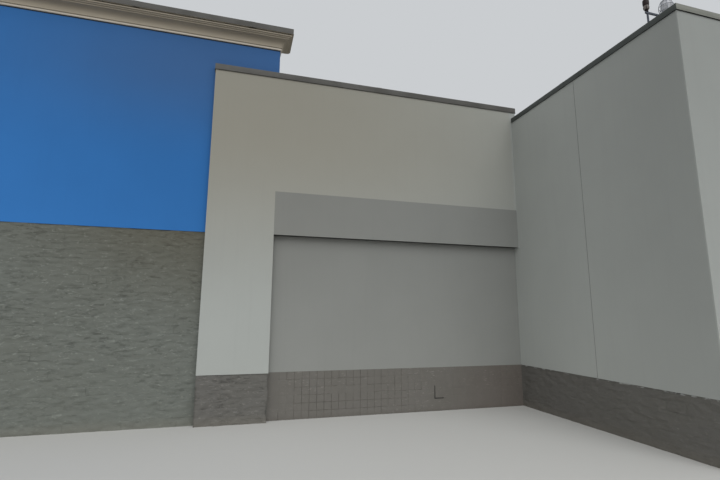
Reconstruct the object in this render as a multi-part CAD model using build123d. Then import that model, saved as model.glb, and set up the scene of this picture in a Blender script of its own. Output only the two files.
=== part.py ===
# Supermarket building: a tall blue screen wall with a cornice between two light piers, a lower
# light wall with a closed-in bay under a header, and a wing that comes forward at the right.
# Units are millimetres. X runs right along the front, Y into the building, Z up.
# Places are first given from the inner corner, where the light wall's face meets the wing's side
# at ground level, and each piece is moved to the origin under the middle of the whole when saved.

from build123d import *
import os

# Block courses
course_height = 203.2
low_base_course_count = 6
tall_base_course_count = 24
header_course_count = 6

# Walls, up to the undersides of their copings
wall_thickness = 295.0
wing_wall_height = 9124.0
light_wall_above_wing = 362.0
blue_wall_above_light = 1372.0

# Plan lengths
blue_bay_width = 12192.0
pier_width = 1768.0
pier_depth = 181.0
closed_bay_width = 7742.0
bay_recess = 200.0
wing_width = 9754.0
wing_projection = 5759.0
building_depth = 20320.0
parapet_return = 140.0

# Control joints, the first one measured on the wing's side from the inner corner
joint_width = 12.0
joint_recess = 4.0
wing_joint_distance = 2800.0
panel_length = 8128.0

# Copings
coping_overhang = 30.0
light_coping_face = 183.0
wing_coping_face = 159.0
cornice_coping_face = 182.0
cornice_coping_overhang = 44.0

# Cornice moulding, from its lower edge up
fillet_height = 50.0
fillet_projection = 35.0
reveal_height = 15.0
reveal_projection = 20.0
cove_foot_projection = 45.0
cove_height = 200.0
cove_depth = 145.0
step_count = 3
step_height = 31.0
step_depth = 40.0
top_groove_height = 22.0
top_groove_depth = 15.0

# Roofs
main_parapet_height = 760.0
wing_parapet_height = 760.0
roof_deck_thickness = 150.0
membrane_thickness = 25.0

# Cover plate on the base of the closed bay
cover_width = 330.0
cover_height = 370.0
cover_thickness = 25.0
cover_from_corner = 2640.0
cover_above_ground = 340.0

# Bracket of two posts and an arm behind the wing's side parapet, with two lamps on it
fixture_from_front = 949.0
fixture_gap = 65.0
fixture_post_width = 35.0
fixture_post_height = 1441.0
fixture_arm_length = 850.0
fixture_arm_height = 50.0
fixture_arm_end = 45.0
lamp_diameter = 170.0
lamp_height = 330.0
guarded_lamp_diameter = 330.0
guarded_lamp_height = 500.0

# Heights that follow
light_wall_height = wing_wall_height + light_wall_above_wing
blue_wall_height = light_wall_height + blue_wall_above_light
low_base_height = low_base_course_count * course_height
tall_base_height = tall_base_course_count * course_height
header_bottom = tall_base_height
header_top = header_bottom + header_course_count * course_height
cornice_height = (fillet_height + reveal_height + cove_height
                  + step_count * step_height + top_groove_height)
cornice_bottom = blue_wall_height - cornice_height
cornice_projection = cove_foot_projection + cove_depth + step_count * step_depth
main_roof_top = light_wall_height - main_parapet_height
wing_roof_top = wing_wall_height - wing_parapet_height

# Lines across the plan that follow, from left to right and from front to back
left_face = -(closed_bay_width + 2 * pier_width + blue_bay_width)
left_inner = left_face + wall_thickness
left_pier_end = left_face + pier_width
blue_end = -closed_bay_width
right_pier_start = blue_end - pier_width
step_inner = parapet_return - wall_thickness
right_face = wing_width
right_inner = right_face - wall_thickness
wing_front = -wing_projection
wing_front_inner = wing_front + wall_thickness
blue_face = pier_depth
blue_back = blue_face + wall_thickness
bay_face = bay_recess
bay_back = bay_face + wall_thickness
rear_face = building_depth
rear_inner = rear_face - wall_thickness

# The whole, with its cornice and copings, and the point under its middle
whole_left = left_face - cornice_projection - cornice_coping_overhang
whole_right = right_face + coping_overhang
whole_front = wing_front - coping_overhang
whole_rear = rear_face + coping_overhang
middle_x = (whole_left + whole_right) / 2
middle_y = (whole_front + whole_rear) / 2

low_base = (0, low_base_height)


def slab(x, y, z):
    """A plain block between two corners, given as (low, high) along each axis."""
    size = Box(x[1] - x[0], y[1] - y[0], z[1] - z[0], align=(Align.MIN, Align.MIN, Align.MIN))
    return Pos(x[0], y[0], z[0]) * size


def plan_slab(outline, z):
    """A slab with an outline in plan."""
    return Pos(0, 0, z[0]) * extrude(Polygon(*outline, align=None), amount=z[1] - z[0])


def panel_ends(start, end, joints):
    """The (low, high) runs of wall between control joints."""
    edges = [start]
    for joint in joints:
        edges += [joint - joint_width / 2, joint + joint_width / 2]
    edges.append(end)
    return list(zip(edges[0::2], edges[1::2]))


def even_joints(start, end):
    """Control joints that divide a wall into equal panels of about the usual length."""
    panels = max(1, round((end - start) / panel_length))
    return [start + (end - start) * number / panels for number in range(1, panels)]


def save(name, *solids):
    """Write one named piece, moved to the origin under the middle of the whole."""
    placed = [Pos(-middle_x, -middle_y, 0) * solid for solid in solids]
    shape = Compound(children=placed) if len(placed) > 1 else placed[0]
    export_step(shape, f"parts/{name}.step")


def blue_screen_wall():
    """Block base and smooth blue wall, behind both piers."""
    across = (left_face, blue_end)
    through = (blue_face, blue_back)
    save("blue_wall_base", slab(across, through, (0, tall_base_height)))
    save("blue_wall", slab(across, through, (tall_base_height, blue_wall_height)))


def cornice_profile():
    """Section of the moulding: outwards is -Y, up is Z, the wall's face is at Y 0."""
    fillet_top = fillet_height
    cove_foot = fillet_top + reveal_height
    cove_top = cove_foot + cove_height
    cove_edge = cove_foot_projection + cove_depth
    steps_top = cove_top + step_count * step_height
    groove_projection = cornice_projection - top_groove_depth
    foot = [(0, 0), (-fillet_projection, 0), (-fillet_projection, fillet_top),
            (-reveal_projection, fillet_top), (-reveal_projection, cove_foot),
            (-cove_foot_projection, cove_foot)]
    cove = EllipticalCenterArc((-cove_edge, cove_foot), cove_depth, cove_height, arc_size=90)
    steps = [(-cove_edge, cove_top)]
    for number in range(step_count):
        projection = cove_edge + (number + 1) * step_depth
        low = cove_top + number * step_height
        steps += [(-projection, low), (-projection, low + step_height)]
    head = [(-groove_projection, steps_top), (-groove_projection, cornice_height),
            (0, cornice_height)]
    outline = [Polyline(*foot), cove, Polyline(*steps, *head, (0, 0))]
    return Plane.YZ * make_face(Curve() + outline)


def cornice_run(length):
    """A straight length of moulding along X, with its two ends cut to a mitre."""
    ends = cornice_projection
    straight = Pos(-ends, 0, 0) * extrude(cornice_profile(), amount=length + 2 * ends)
    mitre = plan_slab([(0, 0), (-ends, -ends), (length + ends, -ends), (length, 0)],
                      (0, cornice_height))
    return (straight & mitre).solid()


def cornice():
    """Moulding round all four sides of the blue wall's head, under one wide coping."""
    long_run = cornice_run(blue_end - left_face)
    short_run = cornice_run(wall_thickness)
    turned = [("cornice_front", long_run, left_face, blue_face, 0),
              ("cornice_right_return", short_run, blue_end, blue_face, 90),
              ("cornice_rear", long_run, blue_end, blue_back, 180),
              ("cornice_left_return", short_run, left_face, blue_back, 270)]
    for name, run, x, y, angle in turned:
        save(name, Pos(x, y, cornice_bottom) * Rot(0, 0, angle) * run)
    reach = cornice_projection + cornice_coping_overhang
    save("cornice_coping", slab((left_face - reach, blue_end + reach),
                                (blue_face - reach, blue_back + reach),
                                (blue_wall_height, blue_wall_height + cornice_coping_face)))


def piers():
    """Two light piers that stand out in front of the blue wall, on block bases."""
    left = (left_face, left_pier_end)
    right = (right_pier_start, blue_end)
    through = (0, blue_face)
    save("pier_bases", slab(left, through, low_base), slab(right, through, low_base))
    save("left_pier", slab(left, through, (low_base_height, light_wall_height)))
    save("right_pier", slab(right, through, (low_base_height, light_wall_height)))
    save("left_pier_coping", slab((left_face - coping_overhang, left_pier_end + coping_overhang),
                                  (-coping_overhang, blue_face),
                                  (light_wall_height, light_wall_height + light_coping_face)))


def closed_bay():
    """Header across the bay, and the set-back wall that closes it, on its block base."""
    across = (blue_end, 0)
    through = (bay_face, bay_back)
    save("bay_header", slab(across, (0, bay_back), (header_bottom, header_top)))
    save("bay_wall", slab(across, through, (low_base_height, header_bottom)))
    save("bay_wall_base", slab(across, through, low_base))
    save("cover_plate", slab((-cover_from_corner - cover_width, -cover_from_corner),
                             (bay_face - cover_thickness, bay_face),
                             (cover_above_ground, cover_above_ground + cover_height)))


def head_wall():
    """Light wall over the header, with an end that stands on the wing's side wall."""
    outline = [(blue_end, header_top), (0, header_top), (0, wing_wall_height),
               (parapet_return, wing_wall_height), (parapet_return, light_wall_height),
               (blue_end, light_wall_height)]
    upright = extrude(Polygon(*outline, align=None), amount=wall_thickness)
    save("head_wall", Pos(0, wall_thickness, 0) * Rot(90, 0, 0) * upright)
    front = -coping_overhang
    back = wall_thickness + coping_overhang
    left = right_pier_start - coping_overhang
    right = parapet_return + coping_overhang
    coping = [(left, front), (right, front), (right, back), (blue_end, back),
              (blue_end, blue_face), (left, blue_face)]
    save("head_wall_coping",
         plan_slab(coping, (light_wall_height, light_wall_height + light_coping_face)))


def wing_front_wall():
    """Front wall of the wing, its base and its coping."""
    across = (0, right_face)
    through = (wing_front, wing_front_inner)
    save("wing_front_base", slab(across, through, low_base))
    save("wing_front_wall", slab(across, through, (low_base_height, wing_wall_height)))
    save("wing_front_coping", slab((-coping_overhang, right_face + coping_overhang),
                                   (wing_front - coping_overhang,
                                    wing_front_inner + coping_overhang),
                                   (wing_wall_height, wing_wall_height + wing_coping_face)))


def wing_side_wall():
    """Side wall of the wing, back to the inner face of the closed bay."""
    across = (0, wall_thickness)
    upright = (low_base_height, wing_wall_height)
    panels = panel_ends(wing_front_inner, bay_back, [-wing_joint_distance])
    save("wing_side_base", slab(across, (wing_front_inner, bay_back), low_base))
    save("wing_side_wall", *[slab(across, panel, upright) for panel in panels])
    left = -coping_overhang
    right = wall_thickness + coping_overhang
    front = wing_front_inner + coping_overhang
    back = bay_back + coping_overhang
    coping = [(left, front), (right, front), (right, back), (parapet_return, back),
              (parapet_return, 0), (left, 0)]
    save("wing_side_coping",
         plan_slab(coping, (wing_wall_height, wing_wall_height + wing_coping_face)))


def right_side_wall():
    """Outer side wall of the wing and of the hall behind it."""
    across = (right_inner, right_face)
    along = (wing_front_inner, rear_inner)
    upright = (low_base_height, wing_wall_height)
    panels = panel_ends(*along, even_joints(*along))
    save("right_side_base", slab(across, along, low_base))
    save("right_side_wall", *[slab(across, panel, upright) for panel in panels])
    save("right_side_coping", slab((right_inner - coping_overhang, right_face + coping_overhang),
                                   (wing_front_inner + coping_overhang,
                                    rear_inner - coping_overhang),
                                   (wing_wall_height, wing_wall_height + wing_coping_face)))


def left_side_wall():
    """Left side wall, from the back of the blue wall."""
    across = (left_face, left_inner)
    along = (blue_back, rear_inner)
    upright = (low_base_height, light_wall_height)
    panels = panel_ends(*along, even_joints(*along))
    save("left_side_base", slab(across, along, low_base))
    save("left_side_wall", *[slab(across, panel, upright) for panel in panels])
    save("left_side_coping", slab((left_face - coping_overhang, left_inner + coping_overhang),
                                  (blue_back, rear_inner - coping_overhang),
                                  (light_wall_height, light_wall_height + light_coping_face)))


def rear_wall():
    """Rear wall, higher behind the hall than behind the wing."""
    through = (rear_inner, rear_face)
    overhang = (rear_inner - coping_overhang, rear_face + coping_overhang)
    hall = (left_face, parapet_return)
    panels = panel_ends(*hall, even_joints(*hall))
    hall_height = (low_base_height, light_wall_height)
    save("rear_base", slab((left_face, right_face), through, low_base))
    save("rear_wall", *[slab(panel, through, hall_height) for panel in panels])
    save("wing_rear_wall", slab((parapet_return, right_face), through,
                                (low_base_height, wing_wall_height)))
    save("rear_coping", slab((left_face - coping_overhang, parapet_return + coping_overhang),
                             overhang,
                             (light_wall_height, light_wall_height + light_coping_face)))
    save("wing_rear_coping", slab((parapet_return, right_face + coping_overhang), overhang,
                                  (wing_wall_height, wing_wall_height + wing_coping_face)))


def roof_step_wall():
    """Parapet between the hall's roof and the lower roof, with its coping."""
    underside = wing_roof_top - membrane_thickness - roof_deck_thickness
    outline = [(wall_thickness, wing_wall_height), (bay_back, wing_wall_height),
               (bay_back, underside), (rear_inner, underside), (rear_inner, light_wall_height),
               (wall_thickness, light_wall_height)]
    section = Plane.YZ * Polygon(*outline, align=None)
    save("roof_step_wall", Pos(step_inner, 0, 0) * extrude(section, amount=wall_thickness))
    save("roof_step_coping", slab((step_inner - coping_overhang, parapet_return + coping_overhang),
                                  (wall_thickness + coping_overhang, rear_inner - coping_overhang),
                                  (light_wall_height, light_wall_height + light_coping_face)))


def roof(name, outline, top):
    """Deck and the membrane laid on it, inside the parapets."""
    membrane_bottom = top - membrane_thickness
    save(f"{name}_deck", plan_slab(outline, (membrane_bottom - roof_deck_thickness,
                                             membrane_bottom)))
    save(f"{name}_membrane", plan_slab(outline, (membrane_bottom, top)))


def roofs():
    """The hall's roof at the left and the lower roof at the right."""
    hall = [(left_inner, blue_back), (blue_end, blue_back), (blue_end, wall_thickness),
            (0, wall_thickness), (0, bay_back), (step_inner, bay_back),
            (step_inner, rear_inner), (left_inner, rear_inner)]
    wing = [(wall_thickness, wing_front_inner), (right_inner, wing_front_inner),
            (right_inner, rear_inner), (parapet_return, rear_inner),
            (parapet_return, bay_back), (wall_thickness, bay_back)]
    roof("main_roof", hall, main_roof_top)
    roof("wing_roof", wing, wing_roof_top)


def control_joints():
    """Sealant strips between the wall panels, set back from both faces."""
    side = (joint_recess, wall_thickness - joint_recess)
    half = joint_width / 2
    wing_upright = (low_base_height, wing_wall_height)
    hall_upright = (low_base_height, light_wall_height)
    wing_joint = -wing_joint_distance
    strips = [slab(side, (wing_joint - half, wing_joint + half), wing_upright)]
    for joint in even_joints(wing_front_inner, rear_inner):
        across = (right_inner + side[0], right_inner + side[1])
        strips.append(slab(across, (joint - half, joint + half), wing_upright))
    for joint in even_joints(blue_back, rear_inner):
        across = (left_face + side[0], left_face + side[1])
        strips.append(slab(across, (joint - half, joint + half), hall_upright))
    for joint in even_joints(left_face, parapet_return):
        through = (rear_inner + side[0], rear_inner + side[1])
        strips.append(slab((joint - half, joint + half), through, hall_upright))
    save("control_joints", *strips)


def roof_fixture():
    """Two posts on the lower roof behind the side parapet, an arm on them and two lamps on it."""
    first_post = wall_thickness + coping_overhang + fixture_gap
    arm_start = first_post - fixture_arm_end
    arm_end = arm_start + fixture_arm_length
    second_post = arm_end - fixture_arm_end - fixture_post_width
    middle = wing_front + fixture_from_front
    through = (middle - fixture_post_width / 2, middle + fixture_post_width / 2)
    post_top = wing_roof_top + fixture_post_height
    arm_top = post_top + fixture_arm_height
    posts = [slab((post, post + fixture_post_width), through, (wing_roof_top, post_top))
             for post in (first_post, second_post)]
    save("lamp_posts", *posts)
    save("lamp_arm", slab((arm_start, arm_end), through, (post_top, arm_top)))
    standing = (Align.CENTER, Align.CENTER, Align.MIN)
    lamp = Cylinder(lamp_diameter / 2, lamp_height, align=standing)
    save("roof_lamp", Pos(arm_start + fixture_arm_end, middle, arm_top) * lamp)
    guarded_lamp = Cylinder(guarded_lamp_diameter / 2, guarded_lamp_height, align=standing)
    save("guarded_lamp",
         Pos(arm_end - guarded_lamp_diameter / 2, middle, arm_top) * guarded_lamp)


os.makedirs("parts", exist_ok=True)
blue_screen_wall()
cornice()
piers()
closed_bay()
head_wall()
wing_front_wall()
wing_side_wall()
right_side_wall()
left_side_wall()
rear_wall()
roof_step_wall()
roofs()
control_joints()
roof_fixture()
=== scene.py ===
# Supermarket building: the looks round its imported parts, laid out as an add-on and run as a script.
# Units are metres. X runs right along the front, Y into the building, Z up from its foot.

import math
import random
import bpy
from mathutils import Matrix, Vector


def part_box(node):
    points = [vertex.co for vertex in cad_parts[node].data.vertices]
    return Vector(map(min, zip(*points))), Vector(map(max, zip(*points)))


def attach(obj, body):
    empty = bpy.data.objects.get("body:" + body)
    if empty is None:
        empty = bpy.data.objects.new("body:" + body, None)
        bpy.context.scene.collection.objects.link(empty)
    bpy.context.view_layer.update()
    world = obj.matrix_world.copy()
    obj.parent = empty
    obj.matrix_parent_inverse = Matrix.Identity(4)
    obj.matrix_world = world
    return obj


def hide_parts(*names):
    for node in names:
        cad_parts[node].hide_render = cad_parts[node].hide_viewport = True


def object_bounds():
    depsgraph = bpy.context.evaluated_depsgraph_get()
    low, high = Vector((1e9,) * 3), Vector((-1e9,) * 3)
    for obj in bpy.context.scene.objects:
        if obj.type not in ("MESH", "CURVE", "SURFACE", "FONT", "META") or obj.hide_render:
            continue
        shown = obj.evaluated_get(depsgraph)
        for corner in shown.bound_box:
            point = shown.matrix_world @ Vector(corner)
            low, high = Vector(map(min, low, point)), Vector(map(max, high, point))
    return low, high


bl_info = {
    "name": "Supermarket Building",
    "version": (1, 0, 0),
    "blender": (4, 5, 0),
    "location": "3D View > Sidebar > Shop",
    "description": "Coats, block bases, mouldings, copings, roofs and lamps of a flat-roofed shop",
    "category": "Object",
}

import bmesh
import bpy
from bpy.props import FloatProperty
from bpy.props import FloatVectorProperty
from bpy.props import IntProperty
from bpy.props import PointerProperty
from mathutils import Matrix
from mathutils import Vector
from mathutils import noise

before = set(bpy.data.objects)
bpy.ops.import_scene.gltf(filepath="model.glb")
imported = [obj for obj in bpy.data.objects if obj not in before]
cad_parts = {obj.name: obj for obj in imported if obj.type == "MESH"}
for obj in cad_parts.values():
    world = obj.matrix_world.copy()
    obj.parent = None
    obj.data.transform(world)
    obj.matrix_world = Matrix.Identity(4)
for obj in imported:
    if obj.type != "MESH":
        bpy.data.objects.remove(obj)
cad_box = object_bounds()

MIX_FACTOR = 0
MIX_A = 6
MIX_B = 7
MIX_RESULT = 2

# Where the wing's side stands, and where the finishes of the hall's front end before it
WING_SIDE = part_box("wing_side_wall")[0].x
BEFORE_WING = WING_SIDE - 0.12
# Where most dirt has washed down: the blue wall's inner end, under the end of its cornice
DIRT_PLACE = (-2.2, -7.1, 8.6)
# The foot of the inner corner, toward which the bases are drawn darker and browner
CORNER_FOOT_PLACE = (7.0, -7.1, 0.6)

# The upright sides of a box, walked round it
SIDES = ("front", "right", "back", "left")


def to_linear(hex_colour):
    """Scene-linear red, green and blue of an sRGB colour written as hex."""
    channels = [int(hex_colour[at:at + 2], 16) / 255 for at in (1, 3, 5)]
    return tuple(value / 12.92 if value <= 0.04045 else ((value + 0.055) / 1.055) ** 2.4
                 for value in channels)


def rgba(colour, strength=1.0):
    """A colour socket's four numbers from a colour's three or its hex, made lighter or darker by
    strength."""
    channels = to_linear(colour) if isinstance(colour, str) else colour
    return (channels[0] * strength, channels[1] * strength, channels[2] * strength, 1.0)


# Settings that a user would change

def colour_setting(name, description, hex_colour):
    """A colour property, with its default given as sRGB hex."""
    return FloatVectorProperty(name=name, description=description, subtype="COLOR", size=3,
                               min=0.0, max=1.0, default=to_linear(hex_colour))


def length_setting(name, description, default):
    """A length property in metres."""
    return FloatProperty(name=name, description=description, default=default, min=0.0,
                         unit="LENGTH")


class CoatSettings(bpy.types.PropertyGroup):
    """Sand-finish wall coats."""
    blue: colour_setting("Blue coat", "Colour of the screen wall", "#3779C0")
    light: colour_setting("Light coat", "Colour of the light walls and piers", "#A2A6A3")
    header: colour_setting("Header coat", "Colour of the closed bay and its header", "#888A87")
    dirt: colour_setting("Dirt", "Colour of the dirt that rain carries down the walls", "#5E553F")
    stain: colour_setting("Stain", "Colour that the light coat has taken on near its top",
                          "#8A826F")
    grain: length_setting("Grain", "Size of the sand grains as drawn", 0.012)


class BlockSettings(bpy.types.PropertyGroup):
    """Concrete block bases."""
    paint: colour_setting("Block paint", "Colour of the tall split-face base", "#686C67")
    low_paint: colour_setting("Low base paint", "Colour of the low split-face bases", "#61605D")
    scored_paint: colour_setting("Scored block paint", "Colour of the bay's base", "#666460")
    score: colour_setting("Score", "Colour of the dirt in the open scores", "#5A5752")
    block_length: length_setting("Block length", "A block with one joint", 0.4064)
    course_height: length_setting("Course height", "A block with one bed joint", 0.2032)
    joint_width: length_setting("Joint width", "Width of a mortar joint", 0.012)
    joint_depth: length_setting("Joint depth", "How far worn mortar stands back", 0.007)
    relief: length_setting("Relief", "How rough the split faces are, from front to back", 0.042)
    score_width: length_setting("Score width", "Width of an open score", 0.013)
    score_depth: length_setting("Score depth", "How deep an open score is", 0.012)


class MouldingSettings(bpy.types.PropertyGroup):
    """Cornice moulding."""
    coat: colour_setting("Moulding coat", "Colour of the cornice", "#AEA595")
    edge_radius: length_setting("Edge radius", "How far the moulding's edges are eased", 0.005)
    cove_segments: IntProperty(name="Cove segments", description="Facets of the hollow curve",
                               default=14, min=4)


class CopingSettings(bpy.types.PropertyGroup):
    """Folded metal copings."""
    dark: colour_setting("Dark coping", "Colour of the hall's and the cornice's copings",
                         "#4A4945")
    # Painted shade: the wing side's coping is the dark coping drawn darker, where it lies in shade
    side: colour_setting("Side coping", "Colour of the wing side's coping", "#3A3F3C")
    # Painted light: the wing's other copings are the dark coping drawn paler, with the light and sky
    # that they reflect
    pale: colour_setting("Pale coping", "Colour of the wing's other copings", "#7C7E76")
    sheet_length: length_setting("Sheet length", "Distance between joint covers", 3.048)
    cover_length: length_setting("Cover length", "Length of a joint cover", 0.15)
    sheet_inset: length_setting("Sheet inset", "How far the sheet lies inside the covers", 0.003)


class RoofSettings(bpy.types.PropertyGroup):
    """Roof sheet and deck."""
    sheet: colour_setting("Roof sheet", "Colour of the roof sheet", "#C4C4BE")
    lap: colour_setting("Roof laps", "Colour of the sheet at its dusty laps", "#A9A8A0")
    deck: colour_setting("Roof deck", "Colour of the primed deck", "#9C9EA0")
    roll_width: length_setting("Roll width", "Distance between the lap seams", 3.05)
    lap_width: length_setting("Lap width", "Width of a welded lap", 0.09)
    lap_height: length_setting("Lap height", "Height of a lap as drawn", 0.008)
    upstand_height: length_setting("Upstand", "How far the sheet is turned up the walls", 0.28)


class FixtureSettings(bpy.types.PropertyGroup):
    """Roof fixture with its two lamps."""
    steel: colour_setting("Steel", "Colour of the galvanised bracket", "#50555E")
    cap: colour_setting("Cap", "Colour of the small lamp's cap", "#1E0B0A")
    lens: colour_setting("Lens", "Colour of the small lamp's clouded lens", "#6F6864")
    globe: colour_setting("Globe", "Colour of the guarded lamp's globe", "#C9CCD2")
    guard: colour_setting("Guard", "Colour of the guard's wire", "#878B91")
    wire_thickness: length_setting("Wire", "Thickness of the guard's wire", 0.012)
    wire_count: IntProperty(name="Wires", description="Upright wires of the guard", default=8,
                            min=3)


class StageSettings(bpy.types.PropertyGroup):
    """Floor, light and camera."""
    floor: colour_setting("Floor", "Colour of the plain floor", "#C2C2BF")
    near_floor: colour_setting("Near floor", "Colour that the floor sends up near the walls",
                               "#F3F1EC")
    backdrop: colour_setting("Backdrop", "Colour behind the building", "#CACDD0")
    even_light: FloatProperty(name="Even light", description="Strength of the light all round",
                              default=0.74, min=0.0)
    lamp: FloatProperty(name="Lamp", description="Strength of the soft lamp", default=1.25,
                        min=0.0)


# Node help

def add_node(tree, kind, inputs=None, **settings):
    """Adds a node with its settings. An input is set to a value, or linked where it is a socket."""
    node = tree.nodes.new(kind)
    for name, value in settings.items():
        setattr(node, name, value)
    for name, value in (inputs or {}).items():
        if isinstance(value, bpy.types.NodeSocket):
            tree.links.new(value, node.inputs[name])
        else:
            node.inputs[name].default_value = value
    return node


class Finish:
    """A material, made by laying colours one over another on its surface shader. Its patterns
    follow the object's own coordinates."""

    def __init__(self, name, base, **shader_values):
        self.material = bpy.data.materials.new(name)
        self.material.use_nodes = True
        self.tree = self.material.node_tree
        self.shader = self.tree.nodes["Principled BSDF"]
        for key, value in shader_values.items():
            self.shader.inputs[key.replace("_", " ")].default_value = value
        self.place = add_node(self.tree, "ShaderNodeTexCoord").outputs["Object"]
        self.tone = base

    def spread(self, size, detail=3.0, stretch=(1.0, 1.0, 1.0), low=0.35, high=0.65, curl=0.0):
        """Cloudy variation from 0 to 1, with features of a real size in metres. Stretch makes
        them longer along an axis, and curl bends them."""
        scaled = add_node(self.tree, "ShaderNodeMapping",
                          {"Vector": self.place,
                           "Scale": [1 / (size * along) for along in stretch]})
        cloud = add_node(self.tree, "ShaderNodeTexNoise",
                         {"Vector": scaled.outputs["Vector"], "Scale": 1.0, "Detail": detail,
                          "Distortion": curl})
        return add_node(self.tree, "ShaderNodeMapRange",
                        {"Value": cloud.outputs[0], "From Min": low, "From Max": high}).outputs[0]

    def band(self, start, end, axis="Z", first=0.0, last=1.0):
        """From a first value at start to a last one at end, measured up the building or along
        another of its axes."""
        parts = add_node(self.tree, "ShaderNodeSeparateXYZ", {"Vector": self.place})
        return add_node(self.tree, "ShaderNodeMapRange",
                        {"Value": parts.outputs[axis], "From Min": start, "From Max": end,
                         "To Min": first, "To Max": last},
                        interpolation_type="SMOOTHSTEP").outputs[0]

    def facing_down(self):
        """From 0 on upright faces to 1 on those that look down."""
        surface = add_node(self.tree, "ShaderNodeNewGeometry")
        parts = add_node(self.tree, "ShaderNodeSeparateXYZ",
                         {"Vector": surface.outputs["True Normal"]})
        return add_node(self.tree, "ShaderNodeMapRange",
                        {"Value": parts.outputs["Z"], "From Min": -0.15, "From Max": -0.95},
                        interpolation_type="SMOOTHSTEP").outputs[0]

    def near(self, centre, inner, outer):
        """From 1 within an inner distance of a point to 0 beyond an outer one."""
        gap = add_node(self.tree, "ShaderNodeVectorMath", {0: self.place, 1: centre},
                       operation="DISTANCE")
        return add_node(self.tree, "ShaderNodeMapRange",
                        {"Value": gap.outputs["Value"], "From Min": outer, "From Max": inner},
                        interpolation_type="SMOOTHSTEP").outputs[0]

    def lay(self, amount, colour, *factors):
        """Lays a colour over the tone, as far as the factors times an amount say."""
        share = factors[0]
        for factor in (*factors[1:], amount):
            share = add_node(self.tree, "ShaderNodeMath", {0: share, 1: factor},
                             operation="MULTIPLY").outputs[0]
        mix = add_node(self.tree, "ShaderNodeMix",
                       {MIX_FACTOR: share, MIX_A: self.tone, MIX_B: colour}, data_type="RGBA")
        self.tone = mix.outputs[MIX_RESULT]

    def done(self, height=None, strength=1.0, distance=0.001, invert=False):
        """Links the tone, and relief where there is a height, and returns the material."""
        self.tree.links.new(self.tone, self.shader.inputs["Base Color"])
        if height is not None:
            bump = add_node(self.tree, "ShaderNodeBump",
                            {"Height": height, "Strength": strength, "Distance": distance},
                            invert=invert)
            self.tree.links.new(bump.outputs["Normal"], self.shader.inputs["Normal"])
        return self.material


# Finishes

def sand_finish_coat(name, colour, grain, cloud, streak, dust, stain, dull=None):
    """Acrylic coat with a floated sand finish over insulation board. The eye gets a dead matte,
    even wall with a fine grain, slow changes of tone and faint rain streaks. Painted shade darkens
    its soffits, its upper part and, where asked, one end."""
    coat = Finish(name, rgba(colour, 1.03), Roughness=0.92, IOR=1.45, Specular_IOR_Level=0.25)
    # The float leaves slow changes of tone over a metre or so
    coat.lay(cloud, rgba(colour, 0.55), coat.spread(1.3, detail=5.0))
    # Rain runs down the wall in streaks about 120 mm wide and some metres long
    coat.lay(streak, rgba(colour, 0.62),
             coat.spread(0.12, detail=4.0, stretch=(1.0, 1.0, 22.0), low=0.52, high=0.78))
    # A sand grain is 1 to 2 mm and can't show, so it is drawn coarser, as the grain setting says
    grains = coat.spread(grain, detail=2.0, low=0.3, high=0.7)
    coat.lay(0.06, rgba(colour, 0.7), grains)
    # Painted shade, in a darker tone of the coat: the wall is darker toward its top, where less light
    # comes up from the bright ground
    dusty = rgba(colour, 0.36)
    amount, foot, top = dust
    coat.lay(amount, dusty, coat.band(foot, top))
    if dull:
        # Painted shade darkens the wall toward one end too, from a line that it doesn't pass
        amount, axis, start, end, limit = dull
        coat.lay(amount, dusty, coat.band(start, end, axis),
                 coat.band(limit, limit + 0.03, axis))
    # A stain spreads from the dirtiest place, but not to the wing
    stain_colour, amount, reach, foot, top = stain
    coat.lay(amount, rgba(stain_colour), coat.near(DIRT_PLACE, 0.5, reach),
             coat.band(foot, top), coat.band(WING_SIDE - 0.01, BEFORE_WING, "X"))
    # Painted shade: faces that look down, such as soffits, are drawn nearly black
    coat.lay(0.92, rgba(colour, 0.12), coat.facing_down())
    return coat.done(grains, strength=0.35, distance=0.002)


def coated_foam_moulding(name, colour, foot):
    """Foam moulding with an acrylic coat trowelled over it. The eye gets a smooth matte run,
    clean on its fillet and with painted shade under the steps and up the cove."""
    coat = Finish(name, rgba(colour, 1.04), Roughness=0.9, IOR=1.45, Specular_IOR_Level=0.25)
    # Weather changes its tone over a metre or so of the run
    coat.lay(0.18, rgba(colour, 0.6), coat.spread(0.9, detail=4.0, stretch=(1.5, 1.5, 0.3)))
    # Painted shade: faces that look down, under the steps and up the cove, are darker
    coat.lay(0.48, rgba(colour, 0.30), coat.facing_down())
    # The fillet is the lowest 50 mm
    coat.lay(0.8, rgba("#CFC8BC"), coat.band(foot + 0.056, foot + 0.048))
    # The trowel leaves ripples about 50 mm high and 200 mm long
    trowel = coat.spread(0.05, stretch=(4.0, 4.0, 1.0))
    return coat.done(trowel, strength=0.3, distance=0.002)


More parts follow.
